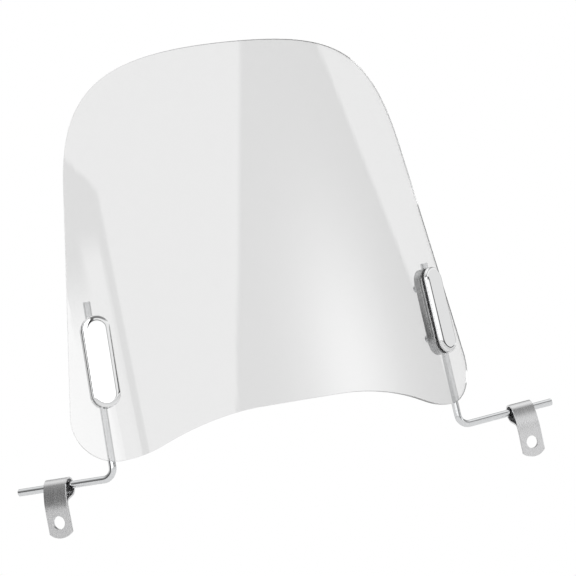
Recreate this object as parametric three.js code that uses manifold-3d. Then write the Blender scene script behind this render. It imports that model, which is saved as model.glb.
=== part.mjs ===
// Motorcycle windshield screen: a clear bent sheet, held near each lower side by a chromed clamp.
// Each clamp grips an L-shaped steel rod, and each rod carries a loose strap clip for a handlebar bolt.
// Millimetres, +Z up. The origin is on the sheet's front face, on its centre line, level with the
// middle of the two clamps. The sheet bulges towards -Y, and +Y is the rider's side.

import * as THREE from "three";
import { mergeVertices } from "three/addons/utils/BufferGeometryUtils.js";
import Module from "manifold-3d";

const wasm = await Module();
wasm.setup();

const degrees = THREE.MathUtils.degToRad;

// Sheet. Half widths are measured along the front face, before the sheet is bent.
const SHEET_THICKNESS = 3;
const SHEET_BEND_RADIUS = 497;
const SHEET_TOP = 243.5;
const SHEET_BOTTOM = -81;
const SHEET_HALF_WIDTH = 194.3;
const SIDE_LEAN = degrees(9.7);
const SHOULDER_HEIGHT = 145;
const CROWN_PULL = 111;
const SHOULDER_PULL = 86;
const CORNER_RADIUS = 36;
const LOBE_RADIUS = 90;
const ARCH_HEIGHT = -58.6;
const ARCH_HALF_WIDTH = 82.8;
const ARCH_RADIUS = 270;
const ARCH_SLOPE = degrees(19);
const BEND_STRIPS = 16;
const OUTLINE_STEPS = 7;

// Clamps. Depths run along the clamp's own Y, from the sheet's front face towards the rider.
const CLAMP_LEAN = degrees(2.3);
const CLAMP_WIDTH = 23;
const CLAMP_LENGTH = 75;
const FRONT_CAP_THICKNESS = 3.2;
const FRONT_CAP_EDGE = { width: 4.6, depth: 2.7 };
const REAR_CAP_WALL = 0.9;
const REAR_CAP_EDGE = { width: 1, depth: 1 };
const GASKET_THICKNESS = 0.6;
const GASKET_INSET = 0.5;
const GAP = 0.3;

// Fasteners: two M4 screws in each clamp, one above the other on the side nearer the sheet's middle.
const SCREW_RADIUS = 2;
const SCREW_INWARDS = 5.4;
const SCREW_ALONG = 22;
const SCREW_CHAMFER = 0.4;
const SCREW_HEAD = { radius: 3.2, height: 2.4, round: 0.6 };
const SCREW_SOCKET = { radius: 1.45, depth: 1.4 };
const SCREW_HOLE_RADIUS = 2.25;
const SCREW_TIP_COVER = 1.6;
const SCREW_HOLE_COVER = 1;
const BOSS_RADIUS = 2.9;
const BUSH = { inner: 3.15, outer: 3.6 };
const SHEET_HOLE_RADIUS = 3.9;
const WASHER = { inner: 2.25, outer: 3.4, thickness: 0.8 };

// Rods and the split sleeves that line the clamps' channels.
const ROD_RADIUS = 3;
const ROD_LEG = 142.5;
const ROD_ARM = 87.5;
const ROD_ARM_RISE = degrees(1.7);
const ROD_BEND_REACH = 9;
const ROD_STEPS = 50;
const ROD_OUTWARDS = 3;
const ROD_DEPTH_BEHIND_SHEET = 4.1;
const SLEEVE = { inner: 3.2, outer: 3.7, length: 66, slit: 0.8 };
const SLEEVE_END_ROOM = 0.9;

// Strap clips, drawn with the rod's axis at the origin of their own frame.
const STRAP_WIDTH = 20;
const STRAP_THICKNESS = 1.5;
const STRAP_LEAF_GAP = 0.3;
const LOOP_OUTER_RADIUS = 8;
const LOOP_DROP = 1.3;
const BOW_RADIUS = 50;
const BOW_START = degrees(17);
const TAB_LEAN = degrees(7);
const LOOP_END = degrees(-70);
const BACK_LEAF_DROP = 14.5;
const BACK_LEAF_PULL = { loop: 7.5, bow: 3 };
const CLIP_HOLE = { radius: 5.5, drop: 28.8 };
const CLIP_END = { reach: 12.6, radius: 14 };
const STRAP_STEPS = 8;

// How each side stands: how far out the clamp sits, measured round the sheet, the arm's turn from
// straight outwards towards the rider, how far the rod's top end stands above its clamp, and how far
// along the arm the clip sits.
const SIDES = [
  {
    name: "left", sign: -1, clampOffset: 168, armTurn: degrees(37.5), rodStandsOut: 12, clipPlace: 50.5,
  },
  {
    name: "right", sign: 1, clampOffset: 174.5, armTurn: degrees(-34), rodStandsOut: 4.6, clipPlace: 57.5,
  },
];

// Depths worked out from the sizes above.
const FRONT_GASKET_FACE = -GAP - GASKET_THICKNESS;
const FRONT_CAP_BACK = FRONT_GASKET_FACE - GAP;
const FRONT_CAP_FACE = FRONT_CAP_BACK - FRONT_CAP_THICKNESS;
const REAR_GASKET_FACE = SHEET_THICKNESS + GAP;
const REAR_CAP_BACK = REAR_GASKET_FACE + GASKET_THICKNESS + GAP;
const ROD_DEPTH = SHEET_THICKNESS + ROD_DEPTH_BEHIND_SHEET;
const CHANNEL_RADIUS = SLEEVE.outer + GAP;
const REAR_CAP_FACE = ROD_DEPTH + CHANNEL_RADIUS + REAR_CAP_WALL;
const WASHER_FACE = REAR_CAP_FACE + GAP;
const HEAD_FACE = WASHER_FACE + WASHER.thickness + GAP;

const FULL_TURN = 2 * Math.PI;
const ROUND_SIDES = 20;
const CUT_MARGIN = 1;

const finish = (color, roughness, metalness, extra = {}) =>
  new THREE.MeshStandardMaterial({ color, roughness, metalness, ...extra });
const CLEAR_SHEET = finish(0xeaf0f2, 0.05, 0, { transparent: true, opacity: 0.35 });
const CHROME = finish(0xd8dadd, 0.08, 1);
const BRUSHED_STEEL = finish(0xa9abad, 0.35, 1);
const ZINC = finish(0xb9bcc0, 0.3, 1);
const BLACK_RUBBER = finish(0x1c1c1d, 0.85, 0);

// ---- Solids ----

function solidFrom(geometry) {
  const bare = geometry.clone();
  bare.deleteAttribute("normal");
  bare.deleteAttribute("uv");
  const merged = mergeVertices(bare);
  const mesh = new wasm.Mesh({
    numProp: 3,
    vertProperties: new Float32Array(merged.attributes.position.array),
    triVerts: new Uint32Array(merged.index.array),
  });
  return new wasm.Manifold(mesh);
}

function geometryFrom(solid) {
  const mesh = solid.getMesh();
  const geometry = new THREE.BufferGeometry();
  geometry.setAttribute("position", new THREE.BufferAttribute(mesh.vertProperties, 3));
  geometry.setIndex(new THREE.BufferAttribute(mesh.triVerts, 1));
  geometry.computeVertexNormals();
  return geometry;
}

function cutFrom(geometry, cutters) {
  let solid = solidFrom(geometry);
  for (const cutter of cutters) solid = solid.subtract(solidFrom(cutter));
  return geometryFrom(solid);
}

// A round bar along Y from one depth to another.
function barAlongY(radius, from, to, sides = ROUND_SIDES) {
  const bar = new THREE.CylinderGeometry(radius, radius, to - from, sides);
  return bar.translate(0, (from + to) / 2, 0);
}

// A round bar along Z, centred on the origin.
function barAlongZ(radius, length) {
  return new THREE.CylinderGeometry(radius, radius, length, ROUND_SIDES).rotateX(Math.PI / 2);
}

// A round-ended bar outline, its length along the drawing's Y.
function stadium(width, length, x = 0) {
  const radius = width / 2;
  const straight = length / 2 - radius;
  const shape = new THREE.Shape();
  shape.absarc(x, straight, radius, 0, Math.PI);
  shape.absarc(x, -straight, radius, Math.PI, FULL_TURN);
  return shape;
}

// A ring around Y, from one depth to another.
function ring(inner, outer, from, to) {
  const profile = [[inner, from], [outer, from], [outer, to], [inner, to], [inner, from]];
  const points = profile.map(([radius, depth]) => new THREE.Vector2(radius, depth));
  return new THREE.LatheGeometry(points, ROUND_SIDES);
}

// A round-ended plate with one eased face. Its flat back is at z = 0 and the eased face is on +Z.
function easedPlate(width, length, thickness, edge) {
  const depth = 2 * (thickness - edge.depth);
  const whole = new THREE.ExtrudeGeometry(stadium(width, length), {
    depth,
    curveSegments: 8,
    bevelThickness: edge.depth,
    bevelSize: edge.width,
    bevelOffset: -edge.width,
    bevelSegments: 4,
  }).translate(0, 0, -depth / 2);
  const backHalf = new THREE.BoxGeometry(2 * width, 2 * length, 2 * thickness);
  return cutFrom(whole, [backHalf.translate(0, 0, -thickness)]);
}

// ---- Sheet ----

// Draws a path towards a corner, then round it on an arc that ends on the line to the next point.
function roundCorner(path, corner, next, radius) {
  const back = path.currentPoint.clone().sub(corner).normalize();
  const ahead = next.clone().sub(corner).normalize();
  const halfAngle = Math.acos(back.dot(ahead)) / 2;
  const reach = radius / Math.tan(halfAngle);
  const start = corner.clone().addScaledVector(back, reach);
  const end = corner.clone().addScaledVector(ahead, reach);
  const inwards = back.clone().add(ahead).normalize();
  const centre = corner.clone().addScaledVector(inwards, radius / Math.sin(halfAngle));
  const from = start.clone().sub(centre).angle();
  const to = end.clone().sub(centre).angle();
  path.lineTo(start.x, start.y);
  path.absarc(centre.x, centre.y, radius, from, to, back.cross(ahead) > 0);
}

const sideAt = (height) => SHEET_HALF_WIDTH - height * Math.tan(SIDE_LEAN);

// The flat sheet's outline: a crowned top, straight flared sides, round lower corners and an arch.
function sheetOutline() {
  const half = new THREE.Path();
  half.moveTo(0, SHEET_TOP);
  half.bezierCurveTo(
    CROWN_PULL, SHEET_TOP,
    sideAt(SHOULDER_HEIGHT) - SHOULDER_PULL * Math.sin(SIDE_LEAN),
    SHOULDER_HEIGHT + SHOULDER_PULL * Math.cos(SIDE_LEAN),
    sideAt(SHOULDER_HEIGHT), SHOULDER_HEIGHT,
  );
  const archDrop = ARCH_HEIGHT - SHEET_BOTTOM;
  const corner = new THREE.Vector2(sideAt(SHEET_BOTTOM), SHEET_BOTTOM);
  const lobe = new THREE.Vector2(ARCH_HALF_WIDTH + archDrop / Math.tan(ARCH_SLOPE), SHEET_BOTTOM);
  const arch = new THREE.Vector2(ARCH_HALF_WIDTH, ARCH_HEIGHT);
  const middle = new THREE.Vector2(0, ARCH_HEIGHT);
  roundCorner(half, corner, lobe, CORNER_RADIUS);
  roundCorner(half, lobe, arch, LOBE_RADIUS);
  roundCorner(half, arch, middle, ARCH_RADIUS);
  half.lineTo(middle.x, middle.y);
  const right = half.getPoints(OUTLINE_STEPS);
  const left = right.slice(1, -1).reverse().map((point) => new THREE.Vector2(-point.x, point.y));
  return new THREE.Shape([...right, ...left]);
}

// The part of a polygon on one side of the plane x = cut.
function clipPolygon(polygon, cut, side) {
  const kept = [];
  polygon.forEach((point, index) => {
    const next = polygon[(index + 1) % polygon.length];
    const here = (point.x - cut) * side;
    const there = (next.x - cut) * side;
    if (here >= 0) kept.push(point);
    if (here * there < 0) kept.push(point.clone().lerp(next, here / (here - there)));
  });
  return kept;
}

// Splits every face of an extrusion where it crosses an upright plane, so that it can bend there.
function splitAcross(geometry, cuts) {
  const corners = geometry.attributes.position;
  let faces = [];
  for (let first = 0; first < corners.count; first += 3) {
    const cornerAt = (step) => new THREE.Vector3().fromBufferAttribute(corners, first + step);
    faces.push([0, 1, 2].map(cornerAt));
  }
  const fan = (polygon) => polygon.slice(2).map((point, index) => [polygon[0], polygon[index + 1], point]);
  for (const cut of cuts) {
    faces = faces.flatMap((face) => [-1, 1].map((side) => clipPolygon(face, cut, side)))
      .filter((polygon) => polygon.length > 2 && polygon.some((point) => point.x !== cut))
      .flatMap(fan);
  }
  return new THREE.BufferGeometry().setFromPoints(faces.flat());
}

// Wraps a flat solid, its depth along +Y, round the sheet's upright cylinder.
function bendSheet(geometry) {
  const places = geometry.attributes.position;
  for (let index = 0; index < places.count; index += 1) {
    const radius = SHEET_BEND_RADIUS - places.getY(index);
    const turn = places.getX(index) / SHEET_BEND_RADIUS;
    places.setX(index, radius * Math.sin(turn));
    places.setY(index, SHEET_BEND_RADIUS - radius * Math.cos(turn));
  }
  return geometry;
}

function sheetGeometry(clampFrames) {
  const flat = new THREE.ExtrudeGeometry(sheetOutline(), { depth: SHEET_THICKNESS, bevelEnabled: false });
  flat.rotateX(Math.PI / 2).translate(0, SHEET_THICKNESS, 0);
  const reach = sideAt(SHEET_BOTTOM);
  const cuts = Array.from({ length: BEND_STRIPS - 1 }, (_, index) =>
    reach * (2 * (index + 1) / BEND_STRIPS - 1));
  const holes = clampFrames.flatMap(({ frame, side }) => screwPlaces(side).map((place) => {
    const hole = barAlongY(SHEET_HOLE_RADIUS, -CUT_MARGIN, SHEET_THICKNESS + CUT_MARGIN);
    return hole.translate(place.x, 0, place.z).applyMatrix4(frame.matrixWorld);
  }));
  return cutFrom(bendSheet(splitAcross(flat, cuts)), holes);
}

// ---- Clamp pieces, in the clamp's own frame: X across, Y towards the rider, Z along the rod ----

function screwPlaces(side) {
  return [
    { label: "upper", x: -side.sign * SCREW_INWARDS, z: SCREW_ALONG },
    { label: "lower", x: -side.sign * SCREW_INWARDS, z: -SCREW_ALONG },
  ];
}

const rodPlace = (side) => side.sign * ROD_OUTWARDS;

const atPlaces = (places, make) => places.map((place) => make().translate(place.x, 0, place.z));

// The front cap: a smooth cover with two blind tapped bosses that reach through the sheet.
function frontCapGeometry(side) {
  const cover = easedPlate(CLAMP_WIDTH, CLAMP_LENGTH, FRONT_CAP_THICKNESS, FRONT_CAP_EDGE);
  cover.rotateX(Math.PI / 2).translate(0, FRONT_CAP_BACK, 0);
  const bossEnd = SHEET_THICKNESS - GAP;
  const rooted = FRONT_CAP_BACK - FRONT_CAP_THICKNESS / 2;
  let solid = solidFrom(cover);
  for (const boss of atPlaces(screwPlaces(side), () => barAlongY(BOSS_RADIUS, rooted, bossEnd))) {
    solid = solid.add(solidFrom(boss));
  }
  const holes = atPlaces(screwPlaces(side), () =>
    barAlongY(SCREW_HOLE_RADIUS, FRONT_CAP_FACE + SCREW_HOLE_COVER, bossEnd + CUT_MARGIN));
  return cutFrom(geometryFrom(solid), holes);
}

// A thin pad with round holes at the screws and, behind the sheet, a window for the sleeve.
function gasketGeometry(side, face, holeRadius, windowed) {
  const outline = stadium(CLAMP_WIDTH - 2 * GASKET_INSET, CLAMP_LENGTH - 2 * GASKET_INSET);
  for (const place of screwPlaces(side)) {
    const hole = new THREE.Path();
    hole.absarc(place.x, -place.z, holeRadius, 0, FULL_TURN);
    outline.holes.push(hole);
  }
  if (windowed) {
    const window = stadium(2 * CHANNEL_RADIUS, SLEEVE.length + 2 * SLEEVE_END_ROOM, rodPlace(side));
    outline.holes.push(window);
  }
  const pad = new THREE.ExtrudeGeometry(outline, {
    depth: GASKET_THICKNESS, bevelEnabled: false, curveSegments: 10,
  });
  return pad.rotateX(-Math.PI / 2).translate(0, face, 0);
}

// A U-shaped channel that opens towards the sheet.
function channelCutters(side, radius, length) {
  const floor = barAlongZ(radius, length).translate(rodPlace(side), ROD_DEPTH, 0);
  const height = ROD_DEPTH - REAR_CAP_BACK + CUT_MARGIN;
  const throat = new THREE.BoxGeometry(2 * radius, height, length);
  return [floor, throat.translate(rodPlace(side), ROD_DEPTH - height / 2, 0)];
}

// The rear cap: a deeper cover with a channel for the sleeve and narrower ends for the rod alone.
function rearCapGeometry(side) {
  const cover = easedPlate(CLAMP_WIDTH, CLAMP_LENGTH, REAR_CAP_FACE - REAR_CAP_BACK, REAR_CAP_EDGE);
  cover.rotateX(-Math.PI / 2).translate(0, REAR_CAP_BACK, 0);
  return cutFrom(cover, [
    ...channelCutters(side, CHANNEL_RADIUS, SLEEVE.length + 2 * GAP),
    ...channelCutters(side, ROD_RADIUS + GAP, CLAMP_LENGTH + 2 * CUT_MARGIN),
    ...atPlaces(screwPlaces(side), () =>
      barAlongY(SCREW_HOLE_RADIUS, REAR_CAP_BACK - CUT_MARGIN, REAR_CAP_FACE + CUT_MARGIN)),
  ]);
}

// A cheese-head screw with a hexagon socket, its head on the rider's side.
function screwGeometry() {
  const headTop = HEAD_FACE + SCREW_HEAD.height;
  const tip = FRONT_CAP_FACE + SCREW_TIP_COVER;
  const profile = [
    [0, tip], [SCREW_RADIUS - SCREW_CHAMFER, tip],
    [SCREW_RADIUS, tip + SCREW_CHAMFER], [SCREW_RADIUS, HEAD_FACE],
    [SCREW_HEAD.radius, HEAD_FACE], [SCREW_HEAD.radius, headTop - SCREW_HEAD.round],
    [SCREW_HEAD.radius - SCREW_HEAD.round, headTop], [0, headTop],
  ].map(([radius, depth]) => new THREE.Vector2(radius, depth));
  const blank = new THREE.LatheGeometry(profile, ROUND_SIDES);
  const socket = barAlongY(SCREW_SOCKET.radius, headTop - SCREW_SOCKET.depth, headTop + CUT_MARGIN, 6);
  return cutFrom(blank, [socket]);
}

const washerGeometry = () =>
  ring(WASHER.inner, WASHER.outer, WASHER_FACE, WASHER_FACE + WASHER.thickness);
const bushGeometry = () => ring(BUSH.inner, BUSH.outer, GAP, SHEET_THICKNESS - GAP);

// A tube with one slit along it, the slit facing the sheet.
function sleeveGeometry() {
  const facing = -Math.PI / 2;
  const outerLip = Math.asin(SLEEVE.slit / 2 / SLEEVE.outer);
  const innerLip = Math.asin(SLEEVE.slit / 2 / SLEEVE.inner);
  const section = new THREE.Shape();
  section.absarc(0, 0, SLEEVE.outer, facing + outerLip, facing - outerLip + FULL_TURN);
  section.absarc(0, 0, SLEEVE.inner, facing - innerLip, facing + innerLip - FULL_TURN, true);
  const tube = new THREE.ExtrudeGeometry(section, {
    depth: SLEEVE.length, bevelEnabled: false, curveSegments: 12,
  });
  return tube.translate(0, 0, -SLEEVE.length / 2);
}

// ---- Rod, in its own frame: the leg stands on Z, the arm runs out along X, rising a little ----

function rodGeometry() {
  const onLeg = (distance) => new THREE.Vector3(0, 0, distance);
  const onArm = (distance) =>
    new THREE.Vector3(distance * Math.cos(ROD_ARM_RISE), 0, distance * Math.sin(ROD_ARM_RISE));
  const pull = ROD_BEND_REACH * (1 - 4 * (Math.SQRT2 - 1) / 3);
  const bend = [onLeg(ROD_BEND_REACH), onLeg(pull), onArm(pull), onArm(ROD_BEND_REACH)];
  const route = new THREE.CurvePath();
  route.add(new THREE.LineCurve3(onLeg(ROD_LEG), onLeg(ROD_BEND_REACH)));
  route.add(new THREE.CubicBezierCurve3(...bend));
  route.add(new THREE.LineCurve3(onArm(ROD_BEND_REACH), onArm(ROD_ARM)));
  const section = new THREE.Shape().absarc(0, 0, ROD_RADIUS, 0, FULL_TURN);
  return new THREE.ExtrudeGeometry(section, { extrudePath: route, steps: ROD_STEPS, curveSegments: 6 });
}

// ---- Strap clip, in its own frame: the rod runs along X, the tab hangs along -Z ----

const unitAt = (angle) => new THREE.Vector2(Math.cos(angle), Math.sin(angle));

// Points of the strap's middle line in the Y-Z plane: a bowed front leaf with a flat end, the loop, and
// the back leaf, which runs down close behind the front one. Also the middle of the bolt hole.
function strapLine() {
  const loopRadius = LOOP_OUTER_RADIUS - STRAP_THICKNESS / 2;
  const loopCentre = new THREE.Vector2(0, -LOOP_DROP);
  const joinAngle = Math.PI - BOW_START;
  const bowCentre = loopCentre.clone().addScaledVector(unitAt(joinAngle), loopRadius - BOW_RADIUS);
  const backRadius = BOW_RADIUS - STRAP_THICKNESS - STRAP_LEAF_GAP;
  const onBow = (radius, angle) => bowCentre.clone().addScaledVector(unitAt(angle), radius);

  const tabAngle = Math.PI + TAB_LEAN;
  const alongTab = new THREE.Vector2(Math.sin(TAB_LEAN), -Math.cos(TAB_LEAN));
  const middleTabStart = onBow((BOW_RADIUS + backRadius) / 2, tabAngle);
  const toHole = (CLIP_HOLE.drop + middleTabStart.y) / Math.cos(TAB_LEAN);
  const tabLength = toHole + CLIP_END.reach + CUT_MARGIN;
  const frontTop = onBow(BOW_RADIUS, tabAngle);
  const frontEnd = frontTop.clone().addScaledVector(alongTab, tabLength);
  const backEnd = onBow(backRadius, tabAngle).addScaledVector(alongTab, tabLength);

  const leave = loopCentre.clone().addScaledVector(unitAt(LOOP_END), loopRadius);
  const leaveHeading = unitAt(LOOP_END - Math.PI / 2);
  const meetAngle = Math.PI + Math.asin((BACK_LEAF_DROP + bowCentre.y) / backRadius);
  const meet = onBow(backRadius, meetAngle);
  const meetHeading = unitAt(meetAngle + Math.PI / 2);
  const firstPull = leave.clone().addScaledVector(leaveHeading, BACK_LEAF_PULL.loop);
  const lastPull = meet.clone().addScaledVector(meetHeading, -BACK_LEAF_PULL.bow);

  const line = new THREE.Path();
  line.moveTo(frontEnd.x, frontEnd.y);
  line.lineTo(frontTop.x, frontTop.y);
  line.absarc(bowCentre.x, bowCentre.y, BOW_RADIUS, tabAngle, joinAngle, true);
  line.absarc(loopCentre.x, loopCentre.y, loopRadius, joinAngle, LOOP_END, true);
  line.bezierCurveTo(firstPull.x, firstPull.y, lastPull.x, lastPull.y, meet.x, meet.y);
  line.absarc(bowCentre.x, bowCentre.y, backRadius, meetAngle, tabAngle);
  line.lineTo(backEnd.x, backEnd.y);
  const hole = middleTabStart.clone().addScaledVector(alongTab, toHole);
  return { points: line.getPoints(STRAP_STEPS), hole };
}

// The outline of a strip of even thickness along a line of points.
function stripOutline(points, thickness) {
  const offset = (distance) => points.map((point, index) => {
    const before = points[Math.max(index - 1, 0)];
    const after = points[Math.min(index + 1, points.length - 1)];
    const along = after.clone().sub(before).normalize();
    return new THREE.Vector2(point.x - along.y * distance, point.y + along.x * distance);
  });
  return new THREE.Shape([...offset(thickness / 2), ...offset(-thickness / 2).reverse()]);
}

function clipGeometry() {
  const { points, hole } = strapLine();
  const strap = new THREE.ExtrudeGeometry(stripOutline(points, STRAP_THICKNESS), {
    depth: STRAP_WIDTH, bevelEnabled: false,
  }).translate(0, 0, -STRAP_WIDTH / 2);
  strap.rotateX(Math.PI / 2).rotateZ(Math.PI / 2);

  const ontoTab = (cutter) => cutter.rotateX(TAB_LEAN).translate(0, hole.x, hole.y);
  const reach = CLIP_HOLE.drop + LOOP_OUTER_RADIUS + STRAP_WIDTH;
  const keep = new THREE.Shape();
  keep.absarc(0, CLIP_END.radius - CLIP_END.reach, CLIP_END.radius, Math.PI, FULL_TURN);
  keep.lineTo(CLIP_END.radius, reach);
  keep.lineTo(-CLIP_END.radius, reach);
  const kept = new THREE.ExtrudeGeometry(keep, {
    depth: 2 * reach, bevelEnabled: false, curveSegments: 16,
  }).translate(0, 0, -reach).rotateX(Math.PI / 2);
  const drill = barAlongY(CLIP_HOLE.radius, -2 * STRAP_THICKNESS, 2 * STRAP_THICKNESS, 2 * ROUND_SIDES);
  const trimmed = solidFrom(strap).intersect(solidFrom(ontoTab(kept)));
  return geometryFrom(trimmed.subtract(solidFrom(ontoTab(drill))));
}

// ---- Assembly ----

function addMesh(parent, name, geometry, material, place = { x: 0, z: 0 }) {
  const mesh = new THREE.Mesh(geometry, material);
  mesh.name = name;
  mesh.position.set(place.x, 0, place.z);
  parent.add(mesh);
}

// A frame on the sheet's front face, turned with the bent sheet and leaning in at the top.
function makeClampFrame(side) {
  const turn = side.sign * side.clampOffset / SHEET_BEND_RADIUS;
  const frame = new THREE.Group();
  frame.position.set(
    SHEET_BEND_RADIUS * Math.sin(turn), SHEET_BEND_RADIUS * (1 - Math.cos(turn)), 0,
  );
  frame.rotation.set(0, -side.sign * CLAMP_LEAN, turn, "ZYX");
  frame.updateMatrixWorld(true);
  return frame;
}

function addClamp(frame, side) {
  const named = (piece) => `${side.name}_${piece}`;
  addMesh(frame, named("front_cap"), frontCapGeometry(side), CHROME);
  addMesh(frame, named("front_gasket"),
    gasketGeometry(side, FRONT_GASKET_FACE, BOSS_RADIUS + GAP, false), BLACK_RUBBER);
  addMesh(frame, named("rear_gasket"),
    gasketGeometry(side, REAR_GASKET_FACE, SCREW_HOLE_RADIUS, true), BLACK_RUBBER);
  addMesh(frame, named("rear_cap"), rearCapGeometry(side), CHROME);
  for (const place of screwPlaces(side)) {
    addMesh(frame, named(`${place.label}_screw`), screwGeometry(), ZINC, place);
    addMesh(frame, named(`${place.label}_washer`), washerGeometry(), ZINC, place);
    addMesh(frame, named(`${place.label}_bush`), bushGeometry(), BLACK_RUBBER, place);
  }
}

// The sleeve, the rod and the clip, each in a group that turns and slides as the real piece does.
function addSupport(frame, side) {
  const sleeve = new THREE.Group();
  sleeve.position.set(rodPlace(side), ROD_DEPTH, 0);
  addMesh(sleeve, `${side.name}_grip_sleeve`, sleeveGeometry(), BLACK_RUBBER);
  const rod = new THREE.Group();
  rod.position.set(rodPlace(side), ROD_DEPTH, CLAMP_LENGTH / 2 + side.rodStandsOut - ROD_LEG);
  rod.rotation.z = side.sign > 0 ? side.armTurn : Math.PI - side.armTurn;
  addMesh(rod, `${side.name}_support_rod`, rodGeometry(), CHROME);
  const clip = new THREE.Group();
  clip.position.x = side.clipPlace;
  clip.rotation.z = side.sign > 0 ? 0 : Math.PI;
  addMesh(clip, `${side.name}_strap_clip`, clipGeometry(), BRUSHED_STEEL);
  const arm = new THREE.Group();
  arm.rotation.y = -ROD_ARM_RISE;
  arm.add(clip);
  rod.add(arm);
  frame.add(sleeve, rod);
}

const windshield = new THREE.Group();
const clampFrames = SIDES.map((side) => ({ side, frame: makeClampFrame(side) }));
addMesh(windshield, "windshield_screen", sheetGeometry(clampFrames), CLEAR_SHEET);
for (const { side, frame } of clampFrames) {
  addClamp(frame, side);
  addSupport(frame, side);
  windshield.add(frame);
}

export default windshield;
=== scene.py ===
"""Motorcycle windshield screen: a clear bent sheet in chromed plate clamps, on two bent rods that
carry loose strap clips. Sizes are in millimetres until a mesh is made, which scales them to metres.
"""

import math

import bmesh
import bpy
from mathutils import Matrix, Vector


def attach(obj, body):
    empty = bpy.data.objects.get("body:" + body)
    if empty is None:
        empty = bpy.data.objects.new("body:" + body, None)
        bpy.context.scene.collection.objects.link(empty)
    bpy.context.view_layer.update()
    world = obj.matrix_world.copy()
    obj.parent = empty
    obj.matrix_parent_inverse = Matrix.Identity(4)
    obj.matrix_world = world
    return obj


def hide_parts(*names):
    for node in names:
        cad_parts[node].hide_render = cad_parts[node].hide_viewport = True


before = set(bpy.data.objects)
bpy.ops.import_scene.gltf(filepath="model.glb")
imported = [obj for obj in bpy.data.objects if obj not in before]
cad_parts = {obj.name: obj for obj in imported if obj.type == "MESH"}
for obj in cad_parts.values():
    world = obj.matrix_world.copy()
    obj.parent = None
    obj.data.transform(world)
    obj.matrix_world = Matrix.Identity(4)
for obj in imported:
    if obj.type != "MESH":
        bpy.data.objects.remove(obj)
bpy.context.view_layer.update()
scene = bpy.context.scene
MM = 0.001

# ---- Sizes, the same as the part's but for the rounding of edges ----

SHEET_THICKNESS = 3
BEND_RADIUS = 497
SHEET_TOP = 243.5
SHEET_BOTTOM = -81
HALF_WIDTH = 194.3
SIDE_LEAN = math.radians(9.7)
SHOULDER_HEIGHT = 145
CROWN_PULL = 111
SHOULDER_PULL = 86
CORNER_RADIUS = 36
LOBE_RADIUS = 90
ARCH_HEIGHT = -58.6
ARCH_HALF_WIDTH = 82.8
ARCH_RADIUS = 270
ARCH_SLOPE = math.radians(19)
RIM_ROUND = 0.3

CLAMP_LEAN = math.radians(2.3)
CLAMP_WIDTH = 23
CLAMP_LENGTH = 75
SHOULDER_WIDTH = 4.8
SHOULDER_DROP = 0.4
SHOULDER_SLOPE = math.radians(14)
ROLL_WIDTH = 1.3
GAP = 0.3
TOUCH = 0.02
FRONT_CAP_BACK = -1.2
FRONT_CAP_FACE = -4.4
REAR_CAP_BACK = 4.2
REAR_CAP_FACE = 12
HEAD_FACE = 13.4
SCREW_INWARDS = 5.4
SCREW_ALONG = 22
SHEET_HOLE_RADIUS = 3.9
SCREW_HOLE_RADIUS = 2.25
SCREW_HOLE_END = -3.4
FRONT_GASKET_HOLE_RADIUS = 3.2
REAR_GASKET_HOLE_RADIUS = 2.4
GASKET_MARGIN = 0.5
EDGE_BREAK = 0.15
BOSS_RADIUS = 2.9
REAR_CAP_ROUND = 1.4
SHANK_RADIUS = 2
HEAD_RADIUS = 3.2
HEAD_HEIGHT = 2.4
SOCKET_RADIUS = 1.45
SOCKET_DEPTH = 1.4
WASHER_RADIUS = 3.4

ROD_RADIUS = 3
ROD_LEG = 142.5
ROD_ARM = 87.5
ROD_CHAMFER = 0.45
ARM_RISE = math.radians(1.7)
BEND_REACH = 9
ROD_OUTWARDS = 3
ROD_DEPTH = 7.1
CHANNEL_RADIUS = 4
SLEEVE_LENGTH = 66

STRAP_WIDTH = 20
STRAP_THICKNESS = 1.5
STRAP_ROUND = 0.35
LEAF_GAP = 0.3
LOOP_RADIUS = 7.25
LOOP_DROP = 1.3
BOW_RADIUS = 50
BOW_START = math.radians(17)
TAB_LEAN = math.radians(7)
LOOP_END = math.radians(-70)
BACK_LEAF_DROP = 14.5
BACK_LEAF_PULL = (7.5, 3)
CLIP_HOLE_RADIUS = 5.5
CLIP_HOLE_DROP = 28.8
CLIP_END_REACH = 12.6
CLIP_END_RADIUS = 14

# name, side, how far out the clamp sits, the arm's turn, the rod's stand above the clamp, and the
# clip's place along the arm
SIDES = (
    ("left", -1, 168, math.radians(37.5), 12, 50.5),
    ("right", 1, 174.5, math.radians(-34), 4.6, 57.5),
)


# ---- Node helpers ----


def new_material(name):
    material = bpy.data.materials.new(name)
    material.use_nodes = True
    shader = material.node_tree.nodes["Principled BSDF"]
    return material, material.node_tree, shader


def add_node(tree, kind, **settings):
    node = tree.nodes.new(kind)
    for key, value in settings.items():
        if key in node.inputs:
            node.inputs[key].default_value = value
        else:
            setattr(node, key, value)
    return node


def math_node(tree, operation, first, second=None):
    node = tree.nodes.new("ShaderNodeMath")
    node.operation = operation
    for slot, value in enumerate((first, second)):
        if value is None:
            continue
        if isinstance(value, (int, float)):
            node.inputs[slot].default_value = value
        else:
            tree.links.new(value, node.inputs[slot])
    return node.outputs[0]


def spread(tree, value, low, high, out_low=0.0, out_high=1.0):
    """Eases from out_low to out_high while the value goes from low to high."""
    node = tree.nodes.new("ShaderNodeMapRange")
    node.interpolation_type = "SMOOTHSTEP"
    for key, number in (
        ("From Min", low), ("From Max", high), ("To Min", out_low), ("To Max", out_high),
    ):
        if isinstance(number, (int, float)):
            node.inputs[key].default_value = number
        else:
            tree.links.new(number, node.inputs[key])
    tree.links.new(value, node.inputs["Value"])
    return node.outputs["Result"]


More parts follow.
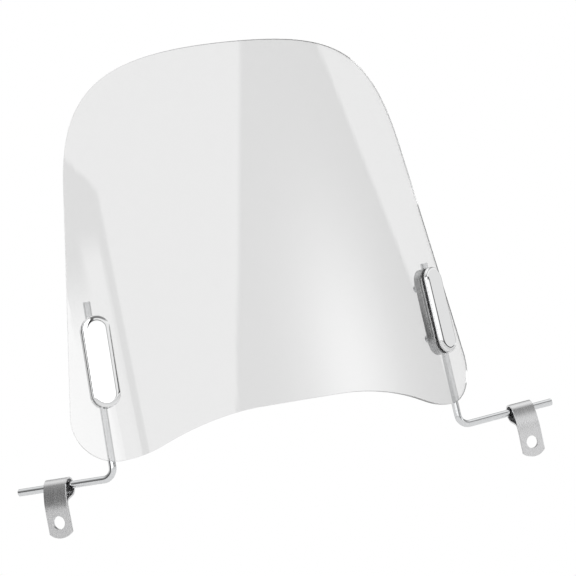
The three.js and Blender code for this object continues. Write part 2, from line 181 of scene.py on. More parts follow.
def object_noise(tree, scale, stretch, detail, source="Object"):
    place = add_node(tree, "ShaderNodeTexCoord")
    mapping = add_node(tree, "ShaderNodeMapping")
    mapping.inputs["Scale"].default_value = stretch
    tree.links.new(place.outputs[source], mapping.inputs["Vector"])
    node = add_node(tree, "ShaderNodeTexNoise", Scale=scale, Detail=detail)
    tree.links.new(mapping.outputs["Vector"], node.inputs["Vector"])
    return node.outputs["Fac"]


def bump(tree, shader, height, strength, distance):
    node = add_node(tree, "ShaderNodeBump", Strength=strength, Distance=distance)
    tree.links.new(height, node.inputs["Height"])
    tree.links.new(node.outputs["Normal"], shader.inputs["Normal"])


# ---- Materials ----


def clear_sheet_material():
    material, tree, shader = new_material("clear_acrylic")
    shader.inputs["Base Color"].default_value = (0.82, 0.82, 0.82, 1)
    shader.inputs["Transmission Weight"].default_value = 1
    shader.inputs["IOR"].default_value = 1.49
    shader.inputs["Coat Weight"].default_value = 1
    shader.inputs["Coat IOR"].default_value = 1.8
    shader.inputs["Coat Roughness"].default_value = 0.015
    smears = object_noise(tree, 14, (1, 1, 0.35), 4)
    tree.links.new(spread(tree, smears, 0.45, 0.8, 0.0, 0.035), shader.inputs["Roughness"])
    bump(tree, shader, object_noise(tree, 9, (1, 1, 0.5), 1), 0.02, 0.002)
    return material


def chrome_material(name, tone, bumpiness):
    material, tree, shader = new_material(name)
    shader.inputs["Base Color"].default_value = (*tone, 1)
    shader.inputs["Metallic"].default_value = 1
    smudges = object_noise(tree, 60, (1, 1, 1), 5)
    tree.links.new(spread(tree, smudges, 0.42, 0.75, 0.02, 0.08), shader.inputs["Roughness"])
    bump(tree, shader, object_noise(tree, 45, (1, 1, 1), 1), bumpiness, 0.0005)
    return material


def drawn_chrome_material():
    """Chromed bar, with drawing lines that run along it."""
    material, tree, shader = new_material("chromed_bar")
    shader.inputs["Metallic"].default_value = 1
    lines = object_noise(tree, 30, (1, 0.012, 1), 3, "UV")
    tone = add_node(tree, "ShaderNodeValToRGB")
    tone.color_ramp.elements[0].color = (0.72, 0.73, 0.74, 1)
    tone.color_ramp.elements[1].color = (0.86, 0.87, 0.88, 1)
    tree.links.new(lines, tone.inputs["Fac"])
    tree.links.new(tone.outputs["Color"], shader.inputs["Base Color"])
    tree.links.new(spread(tree, lines, 0.3, 0.75, 0.05, 0.16), shader.inputs["Roughness"])
    bump(tree, shader, lines, 0.1, 0.00005)
    return material


def brushed_material():
    """Satin strap steel, brushed along the strap."""
    material, tree, shader = new_material("satin_strap_steel")
    shader.inputs["Metallic"].default_value = 1
    fine = object_noise(tree, 1500, (1, 0.015, 0.015), 2)
    broad = object_noise(tree, 45, (1, 0.3, 0.3), 4)
    tone = add_node(tree, "ShaderNodeValToRGB")
    tone.color_ramp.elements[0].position = 0.3
    tone.color_ramp.elements[0].color = (0.74, 0.74, 0.745, 1)
    tone.color_ramp.elements[1].position = 0.7
    tone.color_ramp.elements[1].color = (0.8, 0.8, 0.805, 1)
    fine_part = math_node(tree, "MULTIPLY", fine, 0.6)
    broad_part = math_node(tree, "MULTIPLY", broad, 0.4)
    tree.links.new(math_node(tree, "ADD", fine_part, broad_part), tone.inputs["Fac"])
    tree.links.new(tone.outputs["Color"], shader.inputs["Base Color"])
    tree.links.new(spread(tree, fine, 0.3, 0.7, 0.24, 0.29), shader.inputs["Roughness"])
    bump(tree, shader, fine, 0.03, 0.00005)
    return material


def zinc_material():
    material, tree, shader = new_material("zinc_plate")
    shader.inputs["Metallic"].default_value = 1
    mottle = object_noise(tree, 420, (1, 1, 1), 4)
    tone = add_node(tree, "ShaderNodeValToRGB")
    tone.color_ramp.elements[0].color = (0.56, 0.57, 0.6, 1)
    tone.color_ramp.elements[1].color = (0.74, 0.75, 0.76, 1)
    tree.links.new(mottle, tone.inputs["Fac"])
    tree.links.new(tone.outputs["Color"], shader.inputs["Base Color"])
    tree.links.new(spread(tree, mottle, 0.3, 0.7, 0.22, 0.38), shader.inputs["Roughness"])
    bump(tree, shader, mottle, 0.15, 0.0001)
    return material


def rubber_material():
    material, tree, shader = new_material("grey_rubber")
    shader.inputs["Specular IOR Level"].default_value = 0.35
    grain = object_noise(tree, 700, (1, 1, 1), 4)
    tone = add_node(tree, "ShaderNodeValToRGB")
    tone.color_ramp.elements[0].color = (0.16, 0.16, 0.162, 1)
    tone.color_ramp.elements[1].color = (0.21, 0.21, 0.212, 1)
    tree.links.new(grain, tone.inputs["Fac"])
    tree.links.new(tone.outputs["Color"], shader.inputs["Base Color"])
    tree.links.new(spread(tree, grain, 0.3, 0.7, 0.6, 0.85), shader.inputs["Roughness"])
    bump(tree, shader, grain, 0.4, 0.0002)
    return material


def floor_material():
    material, tree, shader = new_material("pale_floor")
    cloud = object_noise(tree, 1.5, (1, 1, 1), 3)
    tone = add_node(tree, "ShaderNodeValToRGB")
    tone.color_ramp.elements[0].color = (0.9, 0.9, 0.9, 1)
    tone.color_ramp.elements[1].color = (0.94, 0.94, 0.94, 1)
    tree.links.new(cloud, tone.inputs["Fac"])
    tree.links.new(tone.outputs["Color"], shader.inputs["Base Color"])
    shader.inputs["Roughness"].default_value = 0.8
    return material


CLEAR = clear_sheet_material()
CAP_CHROME = chrome_material("cap_chrome", (0.9, 0.903, 0.906), 0.02)
# Painted shade: the rear caps get the same chrome as the front caps, darkened to about half its
# brightness.
REAR_CHROME_PAINTED_SHADE = chrome_material("rear_cap_chrome_painted_shade", (0.5, 0.505, 0.51), 0.03)
ROD_CHROME = drawn_chrome_material()
STRAP_STEEL = brushed_material()
ZINC = zinc_material()
RUBBER = rubber_material()


# ---- Mesh helpers ----


def make_object(name, vertices, faces, matrix=None):
    mesh = bpy.data.meshes.new(name)
    mesh.from_pydata([Vector(v) * MM for v in vertices], [], faces)
    mesh.validate()
    piece = bpy.data.objects.new(name, mesh)
    scene.collection.objects.link(piece)
    if matrix is not None:
        piece.matrix_world = matrix
    return piece


def fix_outside(mesh):
    shape = bmesh.new()
    shape.from_mesh(mesh)
    bmesh.ops.recalc_face_normals(shape, faces=shape.faces)
    shape.to_mesh(mesh)
    shape.free()


def settle(piece):
    """Applies the piece's modifiers to its mesh."""
    graph = bpy.context.evaluated_depsgraph_get()
    done = bpy.data.meshes.new_from_object(piece.evaluated_get(graph))
    piece.modifiers.clear()
    old = piece.data
    piece.data = done
    bpy.data.meshes.remove(old)


def boolean(piece, cutter, operation):
    modifier = piece.modifiers.new("cut", "BOOLEAN")
    modifier.operation = operation
    modifier.solver = "EXACT"
    modifier.object = cutter
    settle(piece)
    mesh = cutter.data
    bpy.data.objects.remove(cutter)
    bpy.data.meshes.remove(mesh)


def bevel(piece, width, segments, angle):
    modifier = piece.modifiers.new("bevel", "BEVEL")
    modifier.width = width * MM
    modifier.segments = segments
    modifier.limit_method = "ANGLE"
    modifier.angle_limit = math.radians(angle)
    settle(piece)


def smooth(piece, angle):
    """Smooth shading that stays flat on flat faces and sharp past the angle."""
    mesh = piece.data
    mesh.polygons.foreach_set("use_smooth", [True] * len(mesh.polygons))
    mesh.set_sharp_from_angle(angle=math.radians(angle))
    modifier = piece.modifiers.new("normals", "WEIGHTED_NORMAL")
    modifier.mode = "FACE_AREA"
    modifier.weight = 100
    modifier.keep_sharp = True
    settle(piece)


def dress(piece, material, body, slot, *nodes):
    piece.data.materials.clear()
    piece.data.materials.append(material)
    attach(piece, body)
    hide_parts(*nodes)


def lofted(name, rings, matrix=None):
    """A closed solid through rings of points, each ring with the same number, with flat ends."""
    count = len(rings[0])
    vertices = [point for ring in rings for point in ring]
    faces = [list(range(count))[::-1]]
    for step in range(len(rings) - 1):
        low, high = step * count, (step + 1) * count
        for index in range(count):
            after = (index + 1) % count
            faces.append([low + index, low + after, high + after, high + index])
    faces.append([(len(rings) - 1) * count + index for index in range(count)])
    piece = make_object(name, vertices, faces, matrix)
    fix_outside(piece.data)
    return piece


def circle_ring(radius, depth, sides, x=0.0, z=0.0):
    angles = [2 * math.pi * k / sides for k in range(sides)]
    return [(x + radius * math.cos(a), depth, z + radius * math.sin(a)) for a in angles]


def pin(name, radius, start, end, matrix, sides, x=0.0, z=0.0):
    return lofted(name, [circle_ring(radius, start, sides, x, z),
                         circle_ring(radius, end, sides, x, z)], matrix)


def turned(name, profile, matrix, sides=64):
    """A ring turned about Y: the profile of (radius, depth) closes on itself."""
    count = len(profile)
    vertices = []
    for k in range(sides):
        angle = 2 * math.pi * k / sides
        for radius, depth in profile:
            vertices.append((radius * math.cos(angle), depth, radius * math.sin(angle)))
    faces = []
    for k in range(sides):
        here, there = k * count, ((k + 1) % sides) * count
        for step in range(count):
            after = (step + 1) % count
            faces.append([here + step, there + step, there + after, here + after])
    piece = make_object(name, vertices, faces, matrix)
    fix_outside(piece.data)
    return piece


def stadium(width, length, depth, x=0.0, arc_steps=40, side_steps=12):
    radius = width / 2
    straight = length / 2 - radius
    ring = []
    for centre, start in ((straight, 0), (-straight, math.pi)):
        for k in range(arc_steps + 1):
            angle = start + math.pi * k / arc_steps
            ring.append((x + radius * math.cos(angle), depth, centre + radius * math.sin(angle)))
        edge = -radius if start == 0 else radius
        for k in range(1, side_steps):
            ring.append((x + edge, depth, centre - 2 * centre * k / side_steps))
    return ring


def quarter(steps):
    return [math.pi / 2 * k / steps for k in range(steps + 1)]


# ---- Places ----


def clamp_frame(sign, offset):
    turn = sign * offset / BEND_RADIUS
    place = Vector((BEND_RADIUS * math.sin(turn), BEND_RADIUS * (1 - math.cos(turn)), 0)) * MM
    return (
        Matrix.Translation(place)
        @ Matrix.Rotation(turn, 4, "Z")
        @ Matrix.Rotation(-sign * CLAMP_LEAN, 4, "Y")
    )


def rod_frame(clamp, sign, arm_turn, stands_out):
    turn = arm_turn if sign > 0 else math.pi - arm_turn
    foot = Vector((sign * ROD_OUTWARDS, ROD_DEPTH, CLAMP_LENGTH / 2 + stands_out - ROD_LEG)) * MM
    return clamp @ Matrix.Translation(foot) @ Matrix.Rotation(turn, 4, "Z")


def clip_frame(rod, sign, place):
    turn = 0 if sign > 0 else math.pi
    return (
        rod
        @ Matrix.Rotation(-ARM_RISE, 4, "Y")
        @ Matrix.Translation(Vector((place, 0, 0)) * MM)
        @ Matrix.Rotation(turn, 4, "Z")
    )


# ---- Sheet ----


def side_at(height):
    return HALF_WIDTH - height * math.tan(SIDE_LEAN)


def bezier(points, steps):
    a, b, c, d = (Vector(p) for p in points)
    line = []
    for k in range(steps + 1):
        t = k / steps
        s = 1 - t
        line.append(a * s**3 + b * (3 * s * s * t) + c * (3 * s * t * t) + d * t**3)
    return line


def rounded(line, corner, ahead, radius, steps):
    """Continues a line of points to a corner and round it, towards the point ahead."""
    back = (line[-1] - corner).normalized()
    onward = (ahead - corner).normalized()
    half = math.acos(max(-1, min(1, back.dot(onward)))) / 2
    reach = radius / math.tan(half)
    start = corner + back * reach
    end = corner + onward * reach
    centre = corner + (back + onward).normalized() * (radius / math.sin(half))
    first = start - centre
    angle = first.angle_signed(end - centre)
    previous = line[-1]
    for k in range(1, 10):
        line.append(previous.lerp(start, k / 10))
    for k in range(steps + 1):
        turn = -angle * k / steps
        line.append(centre + Vector((
            first.x * math.cos(turn) - first.y * math.sin(turn),
            first.x * math.sin(turn) + first.y * math.cos(turn),
        )))


def sheet_outline():
    shoulder = side_at(SHOULDER_HEIGHT)
    line = bezier(
        (
            (0, SHEET_TOP),
            (CROWN_PULL, SHEET_TOP),
            (shoulder - SHOULDER_PULL * math.sin(SIDE_LEAN),
             SHOULDER_HEIGHT + SHOULDER_PULL * math.cos(SIDE_LEAN)),
            (shoulder, SHOULDER_HEIGHT),
        ),
        60,
    )
    drop = ARCH_HEIGHT - SHEET_BOTTOM
    corner = Vector((side_at(SHEET_BOTTOM), SHEET_BOTTOM))
    lobe = Vector((ARCH_HALF_WIDTH + drop / math.tan(ARCH_SLOPE), SHEET_BOTTOM))
    arch = Vector((ARCH_HALF_WIDTH, ARCH_HEIGHT))
    middle = Vector((0, ARCH_HEIGHT))
    rounded(line, corner, lobe, CORNER_RADIUS, 28)
    rounded(line, lobe, arch, LOBE_RADIUS, 12)
    rounded(line, arch, middle, ARCH_RADIUS, 16)
    last = line[-1]
    for k in range(1, 9):
        line.append(last.lerp(middle, k / 8))
    left = [Vector((-p.x, p.y)) for p in line[1:-1]]
    return line + left[::-1]


def inward(outline):
    """The unit normal into the shape at each point of a clockwise outline."""
    count = len(outline)
    normals = []
    for k in range(count):
        along = (outline[(k + 1) % count] - outline[k - 1]).normalized()
        normals.append(Vector((along.y, -along.x)))
    return normals


def screw_spots(sign, offset):
    """The screws' places on the flat sheet."""
    spots = []
    for height in (SCREW_ALONG, -SCREW_ALONG):
        x = -sign * SCREW_INWARDS
        lean = -sign * CLAMP_LEAN
        spots.append((
            sign * offset + x * math.cos(lean) + height * math.sin(lean),
            height * math.cos(lean) - x * math.sin(lean),
        ))
    return spots


def make_sheet():
    outline = sheet_outline()
    normals = inward(outline)
    rings = []
    for angle in quarter(5):
        rings.append((RIM_ROUND * (1 - math.sin(angle)), RIM_ROUND * (1 - math.cos(angle))))
    rings += [(inset, SHEET_THICKNESS - depth) for inset, depth in rings[::-1]]
    loops = [
        [(p.x + n.x * inset, depth, p.y + n.y * inset) for p, n in zip(outline, normals)]
        for inset, depth in rings
    ]
    sheet = lofted("screen_sheet", loops)
    for _, sign, offset, *_ in SIDES:
        for x, z in screw_spots(sign, offset):
            boolean(sheet, pin("hole", SHEET_HOLE_RADIUS, -2, 5, None, 32, x, z), "DIFFERENCE")
    shape = bmesh.new()
    shape.from_mesh(sheet.data)
    reach = side_at(SHEET_BOTTOM)
    strips = 84
    for k in range(1, strips):
        cut = (2 * k / strips - 1) * reach * MM
        bmesh.ops.bisect_plane(
            shape, geom=shape.verts[:] + shape.edges[:] + shape.faces[:], dist=1e-7,
            plane_co=(cut, 0, 0), plane_no=(1, 0, 0),
        )
    for vertex in shape.verts:
        radius = BEND_RADIUS * MM - vertex.co.y
        turn = vertex.co.x / (BEND_RADIUS * MM)
        vertex.co.x = radius * math.sin(turn)
        vertex.co.y = BEND_RADIUS * MM - radius * math.cos(turn)
    shape.to_mesh(sheet.data)
    shape.free()
    smooth(sheet, 30)
    dress(sheet, CLEAR, "screen_assembly", "clear_sheet", "windshield_screen")


# ---- Clamps ----


def make_front_cap(name, clamp, sign):
    rings = []
    thickness = FRONT_CAP_BACK - FRONT_CAP_FACE
    base = 0.5
    profile = [(EDGE_BREAK, TOUCH), (0.0, EDGE_BREAK)]
    top = thickness - SHOULDER_DROP
    for angle in quarter(10):
        if angle < math.pi / 2 - SHOULDER_SLOPE:
            inset = ROLL_WIDTH * (1 - math.cos(angle))
            profile.append((inset, base + (top - base) * math.sin(angle)))
    for k in range(7):
        run = k / 6
        profile.append((
            ROLL_WIDTH + (SHOULDER_WIDTH - ROLL_WIDTH) * run,
            thickness - 0.01 - SHOULDER_DROP * (1 - run) ** 2.6,
        ))
    profile.append((8.5, thickness - 0.005))
    for inset, height in profile:
        width, length = CLAMP_WIDTH - 2 * inset, CLAMP_LENGTH - 2 * inset
        rings.append(stadium(width, length, FRONT_CAP_BACK - height))
    cap = lofted(f"{name}_front_plate", rings, clamp)
    for z in (SCREW_ALONG, -SCREW_ALONG):
        x = -sign * SCREW_INWARDS
        boss = pin("boss", BOSS_RADIUS, FRONT_CAP_BACK - 1, SHEET_THICKNESS - GAP, clamp, 32, x, z)
        boolean(cap, boss, "UNION")
        hole = pin("hole", SCREW_HOLE_RADIUS, SCREW_HOLE_END, 4, clamp, 32, x, z)
        boolean(cap, hole, "DIFFERENCE")
    smooth(cap, 28)
    dress(cap, CAP_CHROME, "screen_assembly", "chromed_cap", f"{name}_front_cap")


def make_rear_cap(name, clamp, sign):
    depth = REAR_CAP_FACE - REAR_CAP_BACK
    rings = [
        stadium(CLAMP_WIDTH - 0.5, CLAMP_LENGTH - 0.5, REAR_CAP_BACK - GAP + TOUCH),
        stadium(CLAMP_WIDTH, CLAMP_LENGTH, REAR_CAP_BACK),
    ]
    for angle in quarter(8):
        inset = REAR_CAP_ROUND * (1 - math.cos(angle))
        height = depth - REAR_CAP_ROUND + REAR_CAP_ROUND * math.sin(angle)
        width, length = CLAMP_WIDTH - 2 * inset, CLAMP_LENGTH - 2 * inset
        rings.append(stadium(width, length, REAR_CAP_BACK + height))
    cap = lofted(f"{name}_rear_plate", rings, clamp)
    x = sign * ROD_OUTWARDS
    arch = [math.pi * k / 48 for k in range(49)]
    for radius, half in (
        (CHANNEL_RADIUS, SLEEVE_LENGTH / 2 + GAP),
        (ROD_RADIUS + GAP, CLAMP_LENGTH),
    ):
        section = [(x + radius * math.cos(a), ROD_DEPTH + radius * math.sin(a)) for a in arch]
        section += [(x - radius, REAR_CAP_BACK - 2), (x + radius, REAR_CAP_BACK - 2)]
        ends = [[(a, b, z) for a, b in section] for z in (-half, half)]
        boolean(cap, lofted("channel", ends, clamp), "DIFFERENCE")
    for z in (SCREW_ALONG, -SCREW_ALONG):
        hole = pin("hole", SCREW_HOLE_RADIUS, 0, 16, clamp, 32, -sign * SCREW_INWARDS, z)
        boolean(cap, hole, "DIFFERENCE")
    smooth(cap, 28)
    # The rear cap wears the darkened chrome, which is painted shade.
    dress(cap, REAR_CHROME_PAINTED_SHADE, "screen_assembly", "chromed_cap", f"{name}_rear_cap")


def make_gaskets(name, clamp, sign):
    width = CLAMP_WIDTH - 2 * GASKET_MARGIN
    length = CLAMP_LENGTH - 2 * GASKET_MARGIN
    for label, start, end, hole_radius in (
        ("front_gasket", FRONT_CAP_BACK, -TOUCH, FRONT_GASKET_HOLE_RADIUS),
        ("rear_gasket", SHEET_THICKNESS + TOUCH, REAR_CAP_BACK - GAP, REAR_GASKET_HOLE_RADIUS),
    ):
        rings = [
            stadium(width - 2 * inset, length - 2 * inset, depth)
            for inset, depth in (
                (0.1, start), (0, start + EDGE_BREAK), (0, end - EDGE_BREAK), (0.1, end),
            )
        ]
        pad = lofted(f"{name}_{label}_pad", rings, clamp)
        for z in (SCREW_ALONG, -SCREW_ALONG):
            hole = pin("hole", hole_radius, -4, 8, clamp, 32, -sign * SCREW_INWARDS, z)
            boolean(pad, hole, "DIFFERENCE")
        if label == "rear_gasket":
            window = [
                stadium(2 * CHANNEL_RADIUS, SLEEVE_LENGTH + 1.8, depth, sign * ROD_OUTWARDS)
                for depth in (1, 6)
            ]
            boolean(pad, lofted("window", window, clamp), "DIFFERENCE")
        smooth(pad, 30)
        dress(pad, RUBBER, "screen_assembly", "rubber", f"{name}_{label}")


def make_fasteners(name, clamp, sign):
    for label, z in (("upper", SCREW_ALONG), ("lower", -SCREW_ALONG)):
        place = clamp @ Matrix.Translation(Vector((-sign * SCREW_INWARDS, 0, z)) * MM)
        top = HEAD_FACE + HEAD_HEIGHT
        profile = [
            (1.6, -2.8), (SHANK_RADIUS, -2.4), (SHANK_RADIUS, HEAD_FACE),
            (2.9, HEAD_FACE), (HEAD_RADIUS, HEAD_FACE + 0.25), (HEAD_RADIUS, top - 0.5),
            (3.1, top - 0.22), (2.85, top), (2.1, top), (1.75, top - 0.12),
        ]
        rings = [circle_ring(radius, depth, 64) for radius, depth in profile]
        screw = lofted(f"{name}_{label}_cap_screw", rings, place)
        socket = pin("socket", SOCKET_RADIUS, top - SOCKET_DEPTH, top + 1, place, 6)
        boolean(screw, socket, "DIFFERENCE")
        smooth(screw, 24)
        dress(screw, ZINC, "screen_assembly", "zinc_steel", f"{name}_{label}_screw")
        low, high = REAR_CAP_FACE + TOUCH, HEAD_FACE - TOUCH
        washer = turned(f"{name}_{label}_flat_washer", [
            (SCREW_HOLE_RADIUS, low), (3.35, low), (WASHER_RADIUS, low + 0.1),
            (WASHER_RADIUS, high - 0.2), (3.25, high), (SCREW_HOLE_RADIUS, high),
        ], place)
        smooth(washer, 24)
        dress(washer, ZINC, "screen_assembly", "zinc_steel", f"{name}_{label}_washer")


# ---- Rods ----


def make_rod(name, matrix):
    """A bent bar with chamfered ends. Its UVs run round the bar and along it."""
    route = [Vector((0, 0, ROD_LEG - (ROD_LEG - BEND_REACH) * k / 24)) for k in range(24)]
    pull = BEND_REACH * (1 - 4 * (math.sqrt(2) - 1) / 3)
    arm = Vector((math.cos(ARM_RISE), 0, math.sin(ARM_RISE)))
    up = Vector((0, 0, 1))
    route += bezier((up * BEND_REACH, up * pull, arm * pull, arm * BEND_REACH), 28)
    route += [arm * (BEND_REACH + (ROD_ARM - BEND_REACH) * k / 16) for k in range(1, 17)]
    ends = [(0, ROD_RADIUS - ROD_CHAMFER), (ROD_CHAMFER, ROD_RADIUS)]
    first = (route[1] - route[0]).normalized()
    last = (route[-1] - route[-2]).normalized()
    stations = [(route[0] + first * d, first, r) for d, r in ends]
    for k in range(1, len(route) - 1):
        stations.append((route[k], (route[k + 1] - route[k - 1]).normalized(), ROD_RADIUS))
    stations += [(route[-1] - last * d, last, r) for d, r in ends[::-1]]
    sides = 56
    angles = [2 * math.pi * k / sides for k in range(sides)]
    across = Vector((0, 1, 0))
    rings = []
    for point, along, radius in stations:
        out = along.cross(across).normalized()
        rings.append([
            tuple(point + (across * math.cos(a) + out * math.sin(a)) * radius) for a in angles
        ])
    bar = lofted(f"{name}_bent_bar", rings, matrix)
    layer = bar.data.uv_layers.new(name="along")
    for face in bar.data.polygons:
        corners = [divmod(v, sides) for v in face.vertices]
        wraps = max(c[1] for c in corners) - min(c[1] for c in corners) > sides / 2
        for loop, (row, column) in zip(face.loop_indices, corners):
            u = (column + (sides if wraps and column < sides / 2 else 0)) / sides
            layer.data[loop].uv = (u, row / 8)
    smooth(bar, 30)
    dress(bar, ROD_CHROME, f"{name}_rod", "chromed_rod", f"{name}_support_rod")


# ---- Strap clips ----


def unit(angle):
    return Vector((math.cos(angle), math.sin(angle)))


def arc(centre, radius, start, end, steps):
    return [centre + unit(start + (end - start) * k / steps) * radius for k in range(steps + 1)]


def strap_line():
    loop = Vector((0, -LOOP_DROP))
    join = math.pi - BOW_START
    bow = loop + unit(join) * (LOOP_RADIUS - BOW_RADIUS)
    back_radius = BOW_RADIUS - STRAP_THICKNESS - LEAF_GAP
    tab = math.pi + TAB_LEAN
    down = Vector((math.sin(TAB_LEAN), -math.cos(TAB_LEAN)))
    middle = bow + unit(tab) * ((BOW_RADIUS + back_radius) / 2)
    to_hole = (CLIP_HOLE_DROP + middle.y) / math.cos(TAB_LEAN)
    length = to_hole + CLIP_END_REACH + 1
    leave = loop + unit(LOOP_END) * LOOP_RADIUS
    meet_angle = math.pi + math.asin((BACK_LEAF_DROP + bow.y) / back_radius)
    meet = bow + unit(meet_angle) * back_radius
    first_pull = leave + unit(LOOP_END - math.pi / 2) * BACK_LEAF_PULL[0]
    last_pull = meet - unit(meet_angle + math.pi / 2) * BACK_LEAF_PULL[1]
    front_top = bow + unit(tab) * BOW_RADIUS
    line = [front_top + down * (length * (1 - k / 6)) for k in range(6)]
    line += arc(bow, BOW_RADIUS, tab, join, 20)
    line += arc(loop, LOOP_RADIUS, join, LOOP_END, 60)[1:]
    line += bezier((leave, first_pull, last_pull, meet), 24)[1:]
    line += arc(bow, back_radius, meet_angle, tab, 10)[1:]
    back_top = bow + unit(tab) * back_radius
    line += [back_top + down * (length * k / 6) for k in range(1, 7)]
    return line, middle + down * to_hole


def make_clip(name, matrix):
    line, hole = strap_line()
    sides = []
    for index, point in enumerate(line):
        before = line[max(index - 1, 0)]
        after = line[min(index + 1, len(line) - 1)]
        along = (after - before).normalized()
        sides.append((point, Vector((-along.y, along.x))))
    half = STRAP_THICKNESS / 2
    section = [p + n * half for p, n in sides] + [p - n * half for p, n in sides[::-1]]
    rings = [[(x, p.x, p.y) for p in section] for x in (-STRAP_WIDTH / 2, STRAP_WIDTH / 2)]
    clip = lofted(f"{name}_strap", rings, matrix)
    onto_tab = (
        matrix
        @ Matrix.Translation(Vector((0, hole.x, hole.y)) * MM)
        @ Matrix.Rotation(TAB_LEAN, 4, "X")
    )
    rise = CLIP_END_RADIUS - CLIP_END_REACH
    keep = [
        (CLIP_END_RADIUS * math.cos(a), rise + CLIP_END_RADIUS * math.sin(a))
        for a in (math.pi + math.pi * k / 64 for k in range(65))
    ]
    keep += [(CLIP_END_RADIUS, 60), (-CLIP_END_RADIUS, 60)]
    ends = [[(a, y, b) for a, b in keep] for y in (-40, 40)]
    boolean(clip, lofted("keep", ends, onto_tab), "INTERSECT")
    boolean(clip, pin("hole", CLIP_HOLE_RADIUS, -6, 6, onto_tab, 72), "DIFFERENCE")
    bevel(clip, STRAP_ROUND, 3, 50)
    smooth(clip, 34)
    dress(clip, STRAP_STEEL, f"{name}_clip", "satin_steel", f"{name}_strap_clip")


make_sheet()
for name, sign, offset, arm_turn, stands_out, clip_place in SIDES:
    clamp = clamp_frame(sign, offset)
    rod = rod_frame(clamp, sign, arm_turn, stands_out)
    make_front_cap(name, clamp, sign)
    make_rear_cap(name, clamp, sign)
    make_gaskets(name, clamp, sign)
    make_fasteners(name, clamp, sign)
    make_rod(name, rod)
    make_clip(name, clip_frame(rod, sign, clip_place))
    for piece in ("upper_bush", "lower_bush", "grip_sleeve"):
        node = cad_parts[f"{name}_{piece}"]
        node.data.materials.clear()
        node.data.materials.append(RUBBER)


# ---- Camera ----

VIEW_AZIMUTH = math.radians(-33.25)
VIEW_ELEVATION = math.radians(-5.36)
VIEW_ROLL = math.radians(11.71)
VIEW_DISTANCE = 2.6355
AIM_HEIGHT = 0.0731
AIM_RIGHT = 0.0046
AIM_DOWN = 0.0394
LENS = 200.9
back = Vector((
    math.sin(VIEW_AZIMUTH) * math.cos(VIEW_ELEVATION),
    -math.cos(VIEW_AZIMUTH) * math.cos(VIEW_ELEVATION),
    math.sin(VIEW_ELEVATION),
))
right = Vector((math.cos(VIEW_AZIMUTH), math.sin(VIEW_AZIMUTH), 0))
up = back.cross(right)
aim = Vector((0, 0, AIM_HEIGHT)) + right * AIM_RIGHT - up * AIM_DOWN
camera_x = right * math.cos(VIEW_ROLL) - up * math.sin(VIEW_ROLL)
camera_y = right * math.sin(VIEW_ROLL) + up * math.cos(VIEW_ROLL)
camera_data = bpy.data.cameras.new("camera")
camera_data.lens = LENS
camera_data.sensor_width = 36
camera_data.clip_end = 50
camera = bpy.data.objects.new("camera", camera_data)
scene.collection.objects.link(camera)
turn = Matrix((camera_x, camera_y, back)).transposed().to_4x4()
camera.matrix_world = Matrix.Translation(aim + back * VIEW_DISTANCE) @ turn
scene.camera = camera


# ---- Studio ----

FLOOR_HEIGHT = -0.45
FLOOR_RADIUS = 10

# Brightness of the areas that reflections see
FRONT_WALL = 0.84
GLOW = 1.35
SIDE_WALL = 0.78
LEFT_LAMP = 1.75
SHELF = 0.92
CEILING = 0.95
ROOM = 0.14
WINDOW_DIP = -0.1


def make_floor():
    mesh = bpy.data.meshes.new("floor")
    shape = bmesh.new()
    bmesh.ops.create_circle(shape, cap_ends=True, segments=128, radius=FLOOR_RADIUS)
    shape.to_mesh(mesh)
    shape.free()
    floor = bpy.data.objects.new("floor", mesh)
    scene.collection.objects.link(floor)
    floor.location.z = FLOOR_HEIGHT
    mesh.materials.append(floor_material())


def add_area(name, place, size, power):
    """A square lamp aimed at the origin, unseen in reflections and through the sheet."""
    data = bpy.data.lights.new(name, "AREA")
    data.shape = "RECTANGLE"
    data.size = data.size_y = size
    data.energy = power
    lamp = bpy.data.objects.new(name, data)
    scene.collection.objects.link(lamp)
    aimed = Vector(place).normalized().to_track_quat("Z", "Y").to_matrix().to_4x4()
    lamp.matrix_world = Matrix.Translation(place) @ aimed
    lamp.visible_glossy = False
    lamp.visible_transmission = False


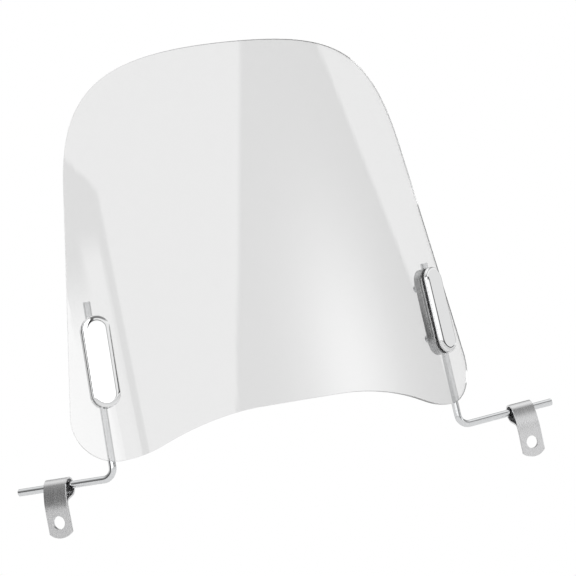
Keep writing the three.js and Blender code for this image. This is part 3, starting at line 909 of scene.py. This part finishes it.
def studio_world():
    """White to the camera and through the sheet, but bright and dark areas to every other ray.

    The areas are not a real room: their directions were chosen so that the sheet and the metal
    repeat the photograph's bands. Azimuth goes from the sheet's front round to the viewer's
    right, height up from the horizon, both in degrees.
    """
    world = bpy.data.worlds.new("studio")
    world.use_nodes = True
    scene.world = world
    tree = world.node_tree
    tree.nodes.clear()

    def times(first, *values):
        for value in values:
            first = math_node(tree, "MULTIPLY", first, value)
        return first

    def plus(first, *values):
        for value in values:
            first = math_node(tree, "ADD", first, value)
        return first

    def minus(first, second):
        return math_node(tree, "SUBTRACT", first, second)

    def rising(value, low, high):
        return spread(tree, value, low, high)

    def falling(value, low, high):
        return spread(tree, value, low, high, 1.0, 0.0)

    direction = add_node(tree, "ShaderNodeTexCoord").outputs["Generated"]
    split = add_node(tree, "ShaderNodeSeparateXYZ")
    tree.links.new(direction, split.inputs[0])
    x, y, z = split.outputs
    to_degrees = 180 / math.pi
    azimuth = times(math_node(tree, "ARCTAN2", x, times(y, -1.0)), to_degrees)
    height = times(math_node(tree, "ARCSINE", z), to_degrees)

    left_edge = plus(times(rising(height, 7.6, 8.8), -7.0), -2.8)
    wall_end = plus(times(height, 2.85), 7.2)
    front_wall = times(
        rising(minus(azimuth, left_edge), -0.8, 0.8),
        falling(minus(azimuth, wall_end), -0.8, 0.8),
        falling(height, 14.0, 24.0), FRONT_WALL,
    )
    across = times(plus(azimuth, -46.0), 1 / 8.5)
    upward = times(plus(height, -3.6), 1 / 1.9)
    spot = plus(times(across, across), times(upward, upward))
    glow = times(math_node(tree, "POWER", math.e, times(spot, -0.5)), GLOW)
    side_start = plus(times(height, -3.0), 84.0)
    side_wall = times(
        rising(minus(azimuth, side_start), -1.0, 1.0),
        falling(azimuth, 96.0, 112.0), falling(height, 18.0, 30.0), SIDE_WALL,
    )
    lamp_top = plus(times(falling(azimuth, -18.0, -13.0), 24.0), 5.8)
    left_lamp = times(
        rising(azimuth, -72.0, -64.0), falling(azimuth, -9.5, -7.5),
        falling(minus(height, lamp_top), -1.0, 1.0), LEFT_LAMP,
    )
    shelf = times(
        rising(azimuth, -9.5, -7.5), falling(azimuth, -4.9, -4.1), falling(height, 6.4, 7.2), SHELF,
    )
    stripes = rising(math_node(tree, "SINE", times(azimuth, 0.13)), -0.5, 0.5)
    panels = plus(times(stripes, 0.6), 0.3)
    backdrop = times(rising(y, 0.4, 0.7), falling(height, 16.0, 40.0), panels)
    ceiling = times(rising(height, 20.0, 80.0), CEILING)
    window = times(
        rising(azimuth, -17.0, -12.0), falling(azimuth, 92.0, 100.0), falling(height, 12.0, 16.0),
    )
    room = plus(times(window, WINDOW_DIP), ROOM)
    light = plus(front_wall, glow, side_wall, left_lamp, shelf, backdrop, ceiling, room)
    below = falling(height, -1.0, 0.0)
    mixed = plus(times(light, minus(1.0, below)), below)

    seen = add_node(tree, "ShaderNodeLightPath")
    straight = math_node(
        tree, "MAXIMUM", seen.outputs["Is Camera Ray"], seen.outputs["Is Transmission Ray"],
    )
    strength = plus(times(mixed, minus(1.0, straight)), straight)
    background = add_node(tree, "ShaderNodeBackground", Color=(1, 1, 1, 1))
    tree.links.new(strength, background.inputs["Strength"])
    output = add_node(tree, "ShaderNodeOutputWorld")
    tree.links.new(background.outputs[0], output.inputs["Surface"])


make_floor()
studio_world()
add_area("overhead", (0, -0.2, 2.2), 2.6, 18)
add_area("front_fill", (-1.6, -2.2, 1.2), 1.2, 4)
scene.view_settings.view_transform = "Standard"
